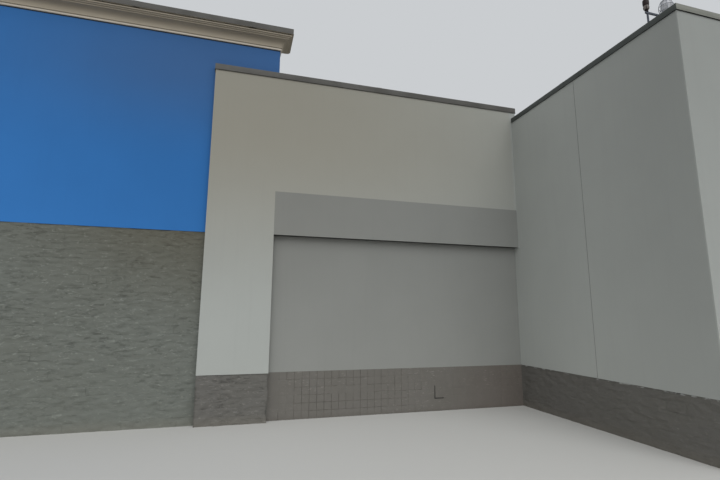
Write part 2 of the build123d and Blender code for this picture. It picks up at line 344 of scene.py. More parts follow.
def masonry_paint_on_split_face(name, colour, dirt, soft_foot=None, flecked_top=None):
    """Acrylic masonry paint on split-face concrete block. The eye gets a matte, broken surface of
    short level ridges with painted shade along them, painted highlights on their crests, painted
    shade in the hollows, and a few pale chips where the paint has gone. A soft foot, below a
    height, has had more coats."""
    paint = Finish(name, rgba(colour, 1.04), Roughness=0.88, IOR=1.45, Specular_IOR_Level=0.3)
    # Damp and dust change its tone over a metre or two
    paint.lay(0.16, rgba("#5D5D54"), paint.spread(1.9, detail=4.0))
    # The wing's base has had more coats of paint too, which soften its face
    open_face = [paint.band(0.0, BEFORE_WING, "X", first=1.0, last=0.4)]
    if soft_foot:
        open_face.append(paint.band(-soft_foot, soft_foot))
    # Ridges left by the splitting are 30 to 60 mm high and up to 400 mm long, and come in groups
    groups = paint.spread(0.45, detail=2.0, stretch=(1.6, 1.6, 1.0), low=0.36, high=0.60)
    ridges = paint.spread(0.060, detail=4.0, stretch=(3.0, 3.0, 1.0), low=0.52, high=0.64,
                          curl=0.5)
    # Painted shade along the ridges
    paint.lay(0.45, rgba(colour, 0.32), ridges, groups, *open_face)
    # Painted highlights on the ridges' crests
    crest_highlights = paint.spread(0.046, detail=4.0, stretch=(2.6, 2.6, 1.0), low=0.59, high=0.69,
                          curl=0.8)
    paint.lay(0.44, rgba(colour, 2.0), crest_highlights, *open_face)
    # Pits are 20 to 40 mm high and 100 to 200 mm long, and hold painted shade
    pit_shade = paint.spread(0.032, detail=2.0, stretch=(3.4, 3.4, 1.0), low=0.66, high=0.78,
                        curl=0.6)
    paint.lay(0.42, rgba(colour, 0.25), pit_shade, *open_face)
    # Chips are 30 to 60 mm across
    chips = paint.spread(0.045, detail=1.0, stretch=(1.8, 1.8, 1.0), low=0.76, high=0.82)
    paint.lay(0.22, rgba("#A9A79C"), chips)
    # Splashes dull the lowest 250 mm
    paint.lay(0.22, rgba("#7B776C"), paint.band(0.30, 0.02))
    if flecked_top:
        # The wall's coat has caught the top edge of the wing's base here and there
        paint.lay(0.75, rgba("#A3A6A4"), paint.band(flecked_top - 0.042, flecked_top - 0.028),
                  paint.band(WING_SIDE - 0.52, BEFORE_WING, "X"),
                  paint.spread(0.07, stretch=(2.5, 2.5, 1.0), low=0.54, high=0.62))
    paint.lay(0.84, rgba(dirt, 0.72), paint.near(DIRT_PLACE, 1.5, 7.0))
    paint.lay(0.12, rgba("#46403A"), paint.near(CORNER_FOOT_PLACE, 0.5, 7.5))
    # Grit in the block is up to 10 mm across, drawn at 18 mm so that it can be seen
    grit = paint.spread(0.018, detail=4.0, stretch=(1.8, 1.8, 1.0), low=0.3, high=0.7)
    return paint.done(grit, strength=0.7, distance=0.006)


def masonry_paint_on_scored_block(name, colour):
    """Acrylic masonry paint on smooth concrete block with sawn scores. The eye gets a flat matte
    face with faint squares, a few pale smears of mortar, and a darker, browner tone toward the
    corner."""
    paint = Finish(name, rgba(colour, 1.05), Roughness=0.82, IOR=1.45, Specular_IOR_Level=0.3)
    # Damp and dust change its tone over a metre or so
    paint.lay(0.14, rgba("#59574D"), paint.spread(0.9))
    # Squares are about 160 mm across, and pores 14 mm
    paint.lay(0.08, rgba(colour, 1.5), paint.spread(0.16, detail=1.0, low=0.4, high=0.6))
    pores = paint.spread(0.014, detail=2.0, low=0.58, high=0.72)
    paint.lay(0.20, rgba(colour, 0.5), pores)
    # Smears are 60 to 150 mm long and 15 to 25 mm high, in a few groups
    groups = paint.spread(1.1, detail=2.0, low=0.46, high=0.62)
    smears = paint.spread(0.030, detail=2.0, stretch=(3.6, 3.6, 1.0), low=0.62, high=0.74)
    paint.lay(0.60, rgba(colour, 2.0), smears, groups)
    # Splashes dull the lowest 100 mm
    paint.lay(0.25, rgba("#54504A"), paint.band(0.14, 0.01))
    paint.lay(0.30, rgba("#5E5049"), paint.near(CORNER_FOOT_PLACE, 0.3, 3.2))
    return paint.done(pores, strength=0.4, distance=0.003, invert=True)


def settled_dirt(name, colour):
    """Soil and old paint that have settled in a narrow groove. The eye gets a soft dark line,
    darker in some stretches than in others."""
    soil = Finish(name, rgba(colour, 1.3), Roughness=0.95)
    # Dark stretches are about 90 mm long
    soil.lay(0.6, rgba(colour, 0.6), soil.spread(0.09))
    return soil.done()


def prefinished_coping_sheet(name, colour):
    """Factory-painted steel sheet, folded on a brake. The eye gets a satin face that is not quite
    flat between its folds, with dust and thin runs of dirt."""
    sheet = Finish(name, rgba(colour, 1.05), Roughness=0.55, IOR=1.5, Specular_IOR_Level=0.35)
    # Dust lies in patches about 0.7 m across
    dust = sheet.spread(0.7, detail=4.0)
    sheet.lay(0.22, rgba(colour, 0.6), dust)
    # Runs of dirt are about 35 mm wide
    sheet.lay(0.25, rgba(colour, 0.55),
              sheet.spread(0.035, stretch=(1.0, 1.0, 8.0), low=0.55, high=0.75))
    # The face bows by a millimetre between its folds; the long paler streaks are painted sheen where
    # it bows
    sheet.lay(0.22, rgba(colour, 1.7),
              sheet.spread(0.05, detail=2.0, stretch=(16.0, 16.0, 1.0), low=0.50, high=0.66))
    rough = add_node(sheet.tree, "ShaderNodeMapRange",
                     {"Value": dust, "To Min": 0.46, "To Max": 0.64})
    sheet.tree.links.new(rough.outputs[0], sheet.shader.inputs["Roughness"])
    # Thin sheet waves by a millimetre over about 400 mm
    waves = sheet.spread(0.4, detail=1.0, low=0.2, high=0.8)
    return sheet.done(waves, strength=0.5, distance=0.002)


def joint_sealant(name, clean_hex, dusty_hex):
    """Gunned sealant, tooled smooth. The eye gets a dull dark line with dust on it."""
    sealant = Finish(name, rgba(clean_hex), Roughness=0.75, IOR=1.48)
    # Dust lies in stretches of about 250 mm
    sealant.lay(0.5, rgba(dusty_hex), sealant.spread(0.25, detail=4.0))
    return sealant.done()


def painted_steel_plate(name, colour):
    """Steel plate, brushed over with masonry paint. The eye gets a smoother, slightly shinier
    patch than the block round it, with brush marks."""
    plate = Finish(name, rgba(colour, 1.08), Roughness=0.6, IOR=1.5)
    # Marks of the brush are about 12 mm wide
    marks = plate.spread(0.012, detail=2.0, stretch=(1.0, 1.0, 9.0))
    plate.lay(0.22, rgba(colour, 0.7), marks)
    return plate.done(marks, strength=0.4, distance=0.001)


def welded_roof_sheet(name, colour):
    """Calendered single-ply roof sheet with hot-air welded laps. The eye gets a pale, faintly
    shiny sheet with grey dirt where water has stood."""
    sheet = Finish(name, rgba(colour), Roughness=0.62, IOR=1.46)
    # Water stands in pools some metres across
    sheet.lay(0.30, rgba("#8F8D84"),
              sheet.spread(3.2, detail=7.0, low=0.50, high=0.72, curl=0.3))
    # Each roll of sheet has weathered a little differently from its end to its end
    sheet.lay(0.10, rgba("#9A988F"), sheet.spread(2.0, detail=2.0, stretch=(6.0, 1.0, 1.0)))
    # Scuffs are about 180 mm across
    sheet.lay(0.18, rgba("#8A8880"), sheet.spread(0.18, detail=4.0, low=0.55, high=0.75))
    # The fabric inside shows as a weave of about 3 mm, drawn at 12 mm so that it can be seen
    weave = sheet.spread(0.012, detail=1.0, low=0.3, high=0.7)
    return sheet.done(weave, strength=0.2, distance=0.001)


def primed_ribbed_deck(name, colour):
    """Roll-formed steel deck with shop primer. The eye gets flat grey sheet with ribs at a
    regular pitch and a little dust."""
    deck = Finish(name, rgba(colour), Roughness=0.55, IOR=1.5)
    rib_pitch = 0.152
    # The wave texture makes this many bands in a unit of its scale
    bands = 3.183
    ribs = add_node(deck.tree, "ShaderNodeTexWave",
                    {"Vector": deck.place, "Scale": 1 / rib_pitch / bands, "Distortion": 0.0},
                    wave_type="BANDS", bands_direction="X")
    # Dust lies in patches about 0.8 m across
    deck.lay(0.25, rgba(colour, 0.65), deck.spread(0.8, detail=4.0))
    return deck.done(ribs.outputs[1], strength=0.8, distance=0.02)


def galvanised_steel(name, colour):
    """Hot-dip galvanised steel, weathered. The eye gets a dull bluish grey with pale and dark
    crystals, about 20 mm across, in the zinc."""
    steel = Finish(name, rgba(colour, 1.2), Roughness=0.5, Metallic=0.6)
    steel.lay(0.5, rgba(colour, 0.6), steel.spread(0.02, detail=1.0, low=0.4, high=0.6))
    return steel.done()


def moulded_lamp_plastic(name, colour, roughness, dust_amount):
    """Injection-moulded polycarbonate, weathered outdoors. The eye gets a gloss dulled in
    patches by dust and sun."""
    plastic = Finish(name, rgba(colour), Roughness=roughness, IOR=1.58, Specular_IOR_Level=0.25)
    # Dulled patches are about 50 mm across
    plastic.lay(dust_amount, rgba("#8C8882"), plastic.spread(0.05, detail=4.0))
    return plastic.done()


# Mesh help

class Form:
    """Points and faces gathered for one piece."""

    def __init__(self):
        self.points = []
        self.faces = []
        self.finishes = []

    def add(self, points, faces, finish=0):
        """Adds a shape of its own points, with the number of its material."""
        start = len(self.points)
        self.points += points
        self.faces += [tuple(start + corner for corner in face) for face in faces]
        self.finishes += [finish] * len(faces)

    def add_mesh(self, mesh):
        """Adds all of a bmesh, whose faces have the numbers of their materials."""
        mesh.verts.index_update()
        self.add([tuple(vertex.co) for vertex in mesh.verts],
                 [tuple(vertex.index for vertex in face.verts) for face in mesh.faces])
        self.finishes[-len(mesh.faces):] = [face.material_index for face in mesh.faces]


def skin_faces(rings, count, closed=False, capped=True):
    """Faces over rings of count points each, with a face on both ends. Closed rings go on to the
    first ring again."""
    faces = []
    for ring in range(rings if closed else rings - 1):
        low = ring * count
        high = (ring + 1) % rings * count
        for step in range(count):
            after = (step + 1) % count
            faces.append((low + step, low + after, high + after, high + step))
    if capped and not closed:
        faces += [tuple(range(count - 1, -1, -1)), tuple(range((rings - 1) * count, rings * count))]
    return faces


def add_bar(form, low, high, ease=0.004):
    """A square bar with eased edges."""
    bar = bmesh.new()
    bmesh.ops.create_cube(bar, size=1.0)
    for vertex in bar.verts:
        vertex.co = Vector((low[axis] + (vertex.co[axis] + 0.5) * (high[axis] - low[axis])
                            for axis in range(3)))
    bmesh.ops.bevel(bar, geom=bar.edges, offset=ease, segments=2, affect="EDGES")
    form.add_mesh(bar)
    bar.free()


def build_piece(name, form, materials, slot, *nodes, sharp_degrees=30.0, weld=0.0):
    """Makes the piece's object, rides it on the building and hides the nodes that it stands in for.
    """
    mesh = bpy.data.meshes.new(name)
    mesh.from_pydata(form.points, [], form.faces)
    mesh.polygons.foreach_set("material_index", form.finishes)
    for material in materials:
        mesh.materials.append(material)
    work = bmesh.new()
    work.from_mesh(mesh)
    if weld:
        bmesh.ops.remove_doubles(work, verts=work.verts, dist=weld)
        bmesh.ops.dissolve_degenerate(work, edges=work.edges, dist=weld)
    bmesh.ops.recalc_face_normals(work, faces=work.faces)
    if work.calc_volume(signed=True) < 0.0:
        bmesh.ops.reverse_faces(work, faces=work.faces)
    work.to_mesh(mesh)
    work.free()
    mesh.polygons.foreach_set("use_smooth", [True] * len(mesh.polygons))
    mesh.set_sharp_from_angle(angle=math.radians(sharp_degrees))
    piece = bpy.data.objects.new(name, mesh)
    bpy.context.scene.collection.objects.link(piece)
    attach(piece, "root")
    if nodes:
        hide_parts(*nodes)


def finish_nodes(material, slot, *nodes):
    """Gives CAD nodes whose shape is right their material."""
    for name in nodes:
        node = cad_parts[name]
        for index in range(len(node.data.materials)):
            node.data.materials[index] = material


# Block bases

# What a point of a block face is on
INSIDE = 0
EDGE = 1
MORTAR = 2

# Into how many steps a course and a half block are divided
COURSE_STEPS = 6
HALF_BLOCK_STEPS = 4


class WallFace:
    """An upright face in plan: where it starts, how long it is, which way it runs and which way
    lies inward. The inside is on its left."""

    def __init__(self, start, end):
        self.start = Vector((*start, 0.0))
        run = Vector((*end, 0.0)) - self.start
        self.length = run.length
        self.along = run.normalized()
        self.inward = Vector((-self.along.y, self.along.x, 0.0))


def side_faces(low, high):
    """The four upright faces of a box, by the side they are on."""
    corners = [(low[0], low[1]), (high[0], low[1]), (high[0], high[1]), (low[0], high[1])]
    return {side: WallFace(corners[number], corners[(number + 1) % len(corners)])
            for number, side in enumerate(SIDES)}


def course_rows(low, high, settings, gap):
    """Heights of the points up a base, with what each is on (INSIDE a block, its EDGE or the
    MORTAR) and its course."""
    half_joint = gap / 2
    courses = round((high - low) / settings.course_height)
    rows = [(low, EDGE, 0)]
    for course in range(courses):
        bottom = low + course * settings.course_height
        if course:
            rows += [(bottom, MORTAR, course), (bottom + half_joint, EDGE, course)]
        rows += [(bottom + settings.course_height * step / COURSE_STEPS, INSIDE, course)
                 for step in range(1, COURSE_STEPS)]
        if course < courses - 1:
            rows.append((bottom + settings.course_height - half_joint, EDGE, course))
    rows.append((high, EDGE, courses - 1))
    return rows


def bond_columns(face, anchor, settings, gap):
    """Places of the points along a face, with what each is on and the number of its half block.
    The half blocks are counted from an anchor in plan, so that the bond runs on from one piece
    to the next."""
    half_block = settings.block_length / 2
    half_joint = gap / 2
    # No point stands closer than this to a corner
    corner_gap = 0.004
    offset = (Vector((*anchor, 0.0)) - face.start).dot(face.along)
    first = math.floor(-offset / half_block) - 1
    last = math.ceil((face.length - offset) / half_block) + 1
    columns = []
    for number in range(first, last):
        place = offset + number * half_block
        columns += [(place - half_joint, EDGE, number), (place, MORTAR, number),
                    (place + half_joint, EDGE, number)]
        columns += [(place + half_block * step / HALF_BLOCK_STEPS, INSIDE, number)
                    for step in range(1, HALF_BLOCK_STEPS)]
    return [column for column in columns
            if corner_gap < column[0] < face.length - corner_gap]


def split_depth(place, row_kind, upright_kind, block, settings):
    """How far behind the face's plane a point of a split block or its mortar lies. A block is
    named by two whole numbers, so that each has its own lean."""
    # Lumps are about 0.3 m long and 0.1 m high, and their beds wander up and down over half a
    # metre. Each noise starts from a place of its own.
    along = 3.4
    upward = 9.5
    slow = 1.9
    smoothness = 0.7
    finer = 2.1
    octaves = 3
    wander = 0.11 * noise.noise(place * slow + Vector((0.0, 0.0, 7.0)))
    lump_place = Vector((place.x * along, place.y * along, (place.z + wander) * upward))
    lumps = noise.fractal(lump_place, smoothness, finer, octaves)
    lean = noise.noise(Vector((block[0] * 0.71 + 0.3, block[1] * 0.83 + 0.4, 5.5)))
    # Depths are shares of the relief
    middle = 0.40
    shallowest = 0.02
    share = middle - 0.50 * lumps + 0.16 * lean
    depth = settings.relief * min(1.0, max(shallowest, share))
    if MORTAR in (row_kind, upright_kind):
        # Paint and flush mortar hide nearly all of the joints; a few stretches have worn open
        worn = noise.noise(Vector((place.x * slow + 31.0, place.y * slow, place.z * 3.1)))
        closed = 0.12
        depth += settings.joint_depth * min(1.0, max(0.0, 1.7 * worn - closed))
    return depth


def scored_depth(place, row_kind, upright_kind, block, settings):
    """How far behind the face's plane a point of a scored block lies. Paint has filled many of
    the sawn scores and bed joints, most of them toward the inner corner. One joint has stayed
    open from top to bottom."""
    open_joint = 11
    least_open = 0.1
    most_open_bed = 0.8
    # The sawn face is uneven by a millimetre either way
    uneven = 0.001
    depth = uneven + uneven * noise.noise(Vector((place.x * 2.5, 3.0, place.z * 2.5)))
    # Scores are shallower with each metre from the pier
    shallower = 0.13
    from_pier = place.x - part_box("bay_wall_base")[0].x
    deepest = settings.score_depth * min(1.0, max(0.42, 1.10 - shallower * from_pier))
    # Open scores come in patches, and each block differs a little
    usual = 0.44
    patch_at = noise.noise(Vector((block[0] * 0.16 + 42.75, 9.0, block[1] * 0.35)))
    chance = random.Random(f"score {block[0]} {block[1]}").random()
    share = usual + 1.2 * patch_at + 0.5 * (chance - 0.5)
    if upright_kind == MORTAR:
        depth += deepest * (1.0 if block[0] == open_joint else min(1.0, max(least_open, share)))
    if row_kind == MORTAR:
        depth += deepest * min(most_open_bed, max(least_open, share - 0.15))
    return depth


def add_block_base(form, low, high, sides, settings, anchor, limits=None, depth_at=split_depth):
    """A base with block faces on the sides that show. It is one closed skin: for each height a
    ring of points in plan, pushed in by the roughness and joints on the sides that show. On a
    scored base the faces down in an open score have the second material."""
    faces = side_faces(low, high)
    shown = {side: (limits or {}).get(side, (0.0, faces[side].length)) for side in sides}
    scored = depth_at is scored_depth
    gap = settings.score_width if scored else settings.joint_width
    ring = []
    for index, side in enumerate(SIDES):
        face = faces[side]
        before = SIDES[index - 1]
        pushes = []
        if side in shown and shown[side][0] <= 0.0:
            pushes.append(face.inward)
        if before in shown and shown[before][1] >= faces[before].length:
            pushes.append(faces[before].inward)
        ring.append((face.start, pushes, INSIDE, 0))
        if side in shown:
            start, end = shown[side]
            ring += [(face.start + face.along * along, [face.inward] if start < along < end else [],
                      kind, number)
                     for along, kind, number in bond_columns(face, anchor, settings, gap)]
    rows = course_rows(low[2], high[2], settings, gap)
    points = []
    depths = []
    for up, row_kind, course in rows:
        for plan, pushes, kind, number in ring:
            place = Vector((plan.x, plan.y, up))
            # Upright joints stand over every other half block, turn about; scores over each
            jointed = scored or (number + course) % 2 == 0
            block = (number if scored else (number + course) // 2, course)
            depth = depth_at(place, row_kind, kind if jointed else INSIDE, block, settings)
            for push in pushes:
                place += push * depth
            points.append(tuple(place))
            depths.append(depth if pushes else 0.0)
    skin = skin_faces(len(rows), len(ring))
    form.add(points, skin)
    if scored:
        # Dirt shows where a score is open by more than a part of its depth
        open_part = 0.4
        open_depth = settings.score_depth * open_part
        for index, corners in enumerate(skin[:-2]):
            if sum(depths[corner] > open_depth for corner in corners) > 1:
                form.finishes[len(form.finishes) - len(skin) + index] = 1


class SHOP_OT_split_face_bases(bpy.types.Operator):
    """Build the rough block bases, with their joints, where they show from outside"""
    bl_idname = "shop.split_face_bases"
    bl_label = "Split-face bases"

    def execute(self, context):
        settings = context.scene.shop_blocks
        dirt = context.scene.shop_coats.dirt
        tall_paint = masonry_paint_on_split_face("masonry_paint_tall_split_face", settings.paint,
                                                 dirt, soft_foot=2.4)
        low_paint = masonry_paint_on_split_face("masonry_paint_low_split_face",
                                                settings.low_paint, dirt,
                                                flecked_top=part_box("wing_front_base")[1].z)
        piers = (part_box("left_pier"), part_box("right_pier"))
        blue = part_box("blue_wall_base")[0]
        wing_low, wing_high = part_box("wing_front_base")
        rear_low, rear_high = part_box("rear_base")
        wing_left = (wing_low.x, wing_low.y)
        rear_left = (rear_low.x, rear_high.y)
        # The blue wall's base shows between the piers, and the wing's side in front of the bay
        between_piers = {"front": (piers[0][1].x - blue.x, piers[1][0].x - blue.x)}
        from_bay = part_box("wing_side_base")[1].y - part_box("bay_wall")[0].y
        before_bay = {"left": (from_bay, math.inf)}
        # For each base the sides with block faces, where its bond starts and its limits
        plans = [
            ("blue_wall_base", ("front", "left"), (piers[0][1].x, blue.y), between_piers),
            ("wing_front_base", ("front", "left", "right"), wing_left, None),
            ("wing_side_base", ("left",), wing_left, before_bay),
            ("right_side_base", ("right",), (wing_high.x, wing_low.y), None),
            ("rear_base", ("back", "left", "right"), rear_left, None),
            ("left_side_base", ("left",), rear_left, None),
        ]
        for node, sides, anchor, limits in plans:
            form = Form()
            add_block_base(form, *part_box(node), sides, settings, anchor, limits)
            paint = tall_paint if node == "blue_wall_base" else low_paint
            build_piece(f"{node}_blocks", form, [paint], "split_face_block", node)
        form = Form()
        low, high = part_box("pier_bases")
        for pier_low, pier_high in piers:
            add_block_base(form, (pier_low.x, low.y, low.z), (pier_high.x, high.y, high.z),
                           ("front", "left", "right"), settings, (pier_low.x, low.y))
        build_piece("pier_bases_blocks", form, [low_paint], "split_face_block", "pier_bases")
        return {"FINISHED"}


class SHOP_OT_scored_base(bpy.types.Operator):
    """Build the bay's base from scored blocks with sawn lines between their squares"""
    bl_idname = "shop.scored_base"
    bl_label = "Scored base"

    def execute(self, context):
        settings = context.scene.shop_blocks
        paint = masonry_paint_on_scored_block("masonry_paint_scored_block",
                                              settings.scored_paint)
        score = settled_dirt("settled_dirt_in_scores", settings.score)
        low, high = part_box("bay_wall_base")
        # How far from the pier the first score is
        plain_strip = 0.30
        form = Form()
        add_block_base(form, low, high, ("front",), settings, (low.x + plain_strip, low.y),
                       {"front": (plain_strip - settings.score_width, high.x - low.x)},
                       scored_depth)
        build_piece("bay_wall_base_blocks", form, [paint, score], "scored_block", "bay_wall_base")
        return {"FINISHED"}


class SHOP_OT_cover_plate(bpy.types.Operator):
    """Build the painted plate on the bay's base, with the open gap at its left and bottom"""
    bl_idname = "shop.cover_plate"
    bl_label = "Cover plate"

    def execute(self, context):
        settings = context.scene.shop_blocks
        plate_paint = masonry_paint_on_scored_block("masonry_paint_brushed_plate",
                                                    settings.scored_paint)
        dark = painted_steel_plate("steel_plate_in_shade", "#1B1A19")
        low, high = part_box("cover_plate")
        gap = 0.026
        proud = 0.009
        gap_proud = 0.004
        # The gap's lower arm ends this far before the plate's right edge
        short = 0.030
        taper = 0.020
        screw_inset = 0.035
        screw_radius = 0.007
        screw_bulge = 0.2
        start = Vector((low.x + gap, high.y - proud, low.z + gap))
        form = Form()
        add_bar(form, start, high, 0.003)
        # The gap's shadow is painted: an angle of near-black steel, whose arms taper away where the
        # plate lies close
        outline = [(low.x, low.z), (high.x - short - taper, low.z),
                   (high.x - short, low.z + gap), (low.x + gap, low.z + gap),
                   (low.x + gap, high.z - taper), (low.x + taper / 2, high.z)]
        points = [(x, y, z) for y in (high.y - gap_proud, high.y) for x, z in outline]
        form.add(points, skin_faces(2, len(outline)), 1)
        # Four screw heads hold the plate
        for across in (start.x + screw_inset, high.x - screw_inset):
            for up in (start.z + screw_inset, high.z - screw_inset):
                head = bmesh.new()
                bmesh.ops.create_uvsphere(head, u_segments=12, v_segments=6, radius=screw_radius)
                for vertex in head.verts:
                    vertex.co = Vector((across + vertex.co.x,
                                        start.y + vertex.co.y * screw_bulge,
                                        up + vertex.co.z))
                form.add_mesh(head)
                head.free()
        build_piece("cover_plate_sheet", form, [plate_paint, dark], "cover_metal", "cover_plate")
        return {"FINISHED"}


# Walls

class SHOP_OT_wall_coats(bpy.types.Operator):
    """Coat the walls, piers and header, and fill the control joints"""
    bl_idname = "shop.wall_coats"
    bl_label = "Wall coats"

    def execute(self, context):
        settings = context.scene.shop_coats
        blue_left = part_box("blue_wall")[0].x
        wing_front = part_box("wing_front_wall")[0].y
        # Dust is painted shade toward the top: how much, and from which height to which. Stain is its
        # colour, how much, how far it reaches, and between which heights it fades in. Dull is painted
        # shade along the wall: how much, along which axis, from where to where, and the line that it
        # doesn't pass. It darkens the blue wall toward its inner end, and the wing's side toward its
        # front.
        blue = sand_finish_coat("acrylic_sand_finish_blue", settings.blue, settings.grain,
                                cloud=0.10, streak=0.06, dust=(0.23, 4.6, 10.6),
                                stain=(settings.dirt, 0.24, 8.0, 6.5, 9.8),
                                dull=(0.30, "X", -11.5, -3.0, blue_left - 1.0))
        # The light coat's stain grows stronger up the wall: a warm stain, and also painted shade
        # toward the top
        light = sand_finish_coat("acrylic_sand_finish_light", settings.light, settings.grain,
                                 cloud=0.07, streak=0.06, dust=(0.10, 1.5, 9.5),
                                 stain=(settings.stain, 0.55, 16.0, 2.0, 8.0),
                                 dull=(0.22, "Y", wing_front + 3.54, wing_front + 0.14,
                                       wing_front + 0.01))
        header = sand_finish_coat("acrylic_sand_finish_header", settings.header, settings.grain,
                                  cloud=0.07, streak=0.05, dust=(0.12, 0.5, 6.5),
                                  stain=(settings.dirt, 0.12, 8.0, 1.5, 5.0))
        sealant = joint_sealant("polyurethane_joint_sealant", "#3B3E3C", "#5C5F5B")
        finish_nodes(blue, "blue_coat", "blue_wall")
        finish_nodes(header, "header_coat", "bay_header", "bay_wall")
        finish_nodes(light, "light_coat", "head_wall", "left_pier", "right_pier",
                     "wing_front_wall", "wing_side_wall", "right_side_wall", "left_side_wall",
                     "rear_wall", "wing_rear_wall", "roof_step_wall")
        finish_nodes(sealant, "sealant", "control_joints")
        # The coat is carried round the corner between the step wall and the head wall's back,
        # where the end of the wing's side wall stands behind
        side_low, side_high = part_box("wing_side_wall")
        form = Form()
        add_bar(form, (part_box("roof_step_wall")[0].x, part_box("head_wall")[1].y,
                       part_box("main_roof_membrane")[1].z),
                (side_low.x, side_high.y, side_high.z), 0.002)
        build_piece("roof_step_corner_coat", form, [light], "light_coat")
        return {"FINISHED"}


# Cornice

def eased(outline, radius, keep=()):
    """The outline with each corner cut to two short facets, apart from those named in keep."""
    # A facet takes no more than this share of an edge
    most = 0.4
    # A corner that is nearly straight, or whose facets would be this short, stays as it is
    nearly_straight = -0.9
    shortest = 0.001
    roundness = 0.55
    points = []
    for index, corner in enumerate(outline):
        here = Vector(corner)
        before = Vector(outline[index - 1]) - here
        after = Vector(outline[(index + 1) % len(outline)]) - here
        reach = min(radius, before.length * most, after.length * most)
        before.normalize()
        after.normalize()
        if index in keep or before.dot(after) < nearly_straight or reach < shortest:
            points.append(corner)
            continue
        first = here + before * reach
        last = here + after * reach
        middle = here.lerp((first + last) / 2, roundness)
        points += [tuple(first), tuple(middle), tuple(last)]
    return points


def cornice_section(settings):
    """Section of the moulding as (projection, height above its foot), from the wall out and up.
    It follows the built moulding: fillet, reveal, cove, three steps and a groove."""
    fillet = (0.035, 0.050)
    reveal = (0.020, 0.065)
    cove_foot = 0.045
    cove_depth = 0.145
    cove_height = 0.200
    step_depth = 0.040
    step_height = 0.031
    step_count = 3
    groove = 0.015
    low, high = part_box("cornice_front")
    top = high.z - low.z
    outline = [(0.0, 0.0), (fillet[0], 0.0), fillet, (reveal[0], fillet[1]), reveal]
    cove_edge = cove_foot + cove_depth
    curve = []
    for number in range(settings.cove_segments + 1):
        angle = math.pi / 2 * number / settings.cove_segments
        curve.append((cove_edge - cove_depth * math.cos(angle),
                      reveal[1] + cove_height * math.sin(angle)))
    smooth_part = set(range(len(outline) + 1, len(outline) + len(curve) - 1))
    outline += curve
    up = reveal[1] + cove_height
    for number in range(step_count):
        projection = cove_edge + (number + 1) * step_depth
        outline += [(projection, up), (projection, up + step_height)]
        up += step_height
    outline += [(projection - groove, up), (projection - groove, top), (0.0, top)]
    return eased(outline, settings.edge_radius,
                 smooth_part | {0, len(outline) - 1, len(outline) - 2})


def add_run(form, start, end, start_mitre, end_mitre, section, base, capped=True, finish=0):
    """A straight run of a section between two mitres. A mitre says which way, in plan, a point
    moves for each metre of its projection."""
    points = [(place[0] + mitre[0] * out, place[1] + mitre[1] * out, base + up)
              for place, mitre in ((start, start_mitre), (end, end_mitre)) for out, up in section]
    form.add(points, skin_faces(2, len(section), capped=capped), finish)


class SHOP_OT_cornice(bpy.types.Operator):
    """Build the cornice as four mitred runs of moulding with eased edges"""
    bl_idname = "shop.cornice"
    bl_label = "Cornice"

    def execute(self, context):
        settings = context.scene.shop_moulding
        low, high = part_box("blue_wall")
        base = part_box("cornice_front")[0].z
        coat = coated_foam_moulding("acrylic_coated_foam_moulding", settings.coat, base)
        shadow_bead = joint_sealant("painted_shadow_bead_under_moulding", "#16202C", "#232B33")
        section = cornice_section(settings)
        # A near-black bead under the moulding's foot is painted shadow: the thin shadow line between
        # the moulding and the wall's coat
        bead = [(0.0, -0.032), (0.004, -0.030), (0.007, -0.018), (0.008, 0.0), (0.0, 0.0)]
        # Each corner of the wall, with the way its mitre points
        corners = [((low.x, low.y), (-1, -1)), ((high.x, low.y), (1, -1)),
                   ((high.x, high.y), (1, 1)), ((low.x, high.y), (-1, 1))]
        nodes = ("cornice_front", "cornice_right_return", "cornice_rear", "cornice_left_return")
        for number, node in enumerate(nodes):
            start, start_mitre = corners[number]
            end, end_mitre = corners[(number + 1) % len(corners)]
            form = Form()
            add_run(form, start, end, start_mitre, end_mitre, section, base)
            add_run(form, start, end, start_mitre, end_mitre, bead, base, finish=1)
            build_piece(f"{node}_moulding", form, [coat, shadow_bead], "cornice_coat", node,
                        sharp_degrees=40.0)
        return {"FINISHED"}


# Copings

# How far a coping's face stands inside its drip edge
DRIP_REACH = 0.009
# How many strips of a coping's section, counted from the wall's top, are its underside
UNDERSIDE_STRIPS = 4


def coping_section(height, inset):
    """Section of a folded coping as (distance in from its outermost line, height above its
    underside), from the wall's top, round the drip edge, up the face and over the fold."""
    face = DRIP_REACH + inset
    return [(0.040, 0.000), (0.036, 0.016), (0.014 + inset, 0.016), (face, 0.002),
            (0.001 + inset, 0.000), (inset, 0.003), (face, 0.015),
            (face, height - 0.012 - inset), (0.011 + inset, height - 0.006 - inset),
            (0.016 + inset, height - 0.003 - inset), (0.045 + inset, height - 0.001 - inset),
            (0.100 + inset, height - inset)]


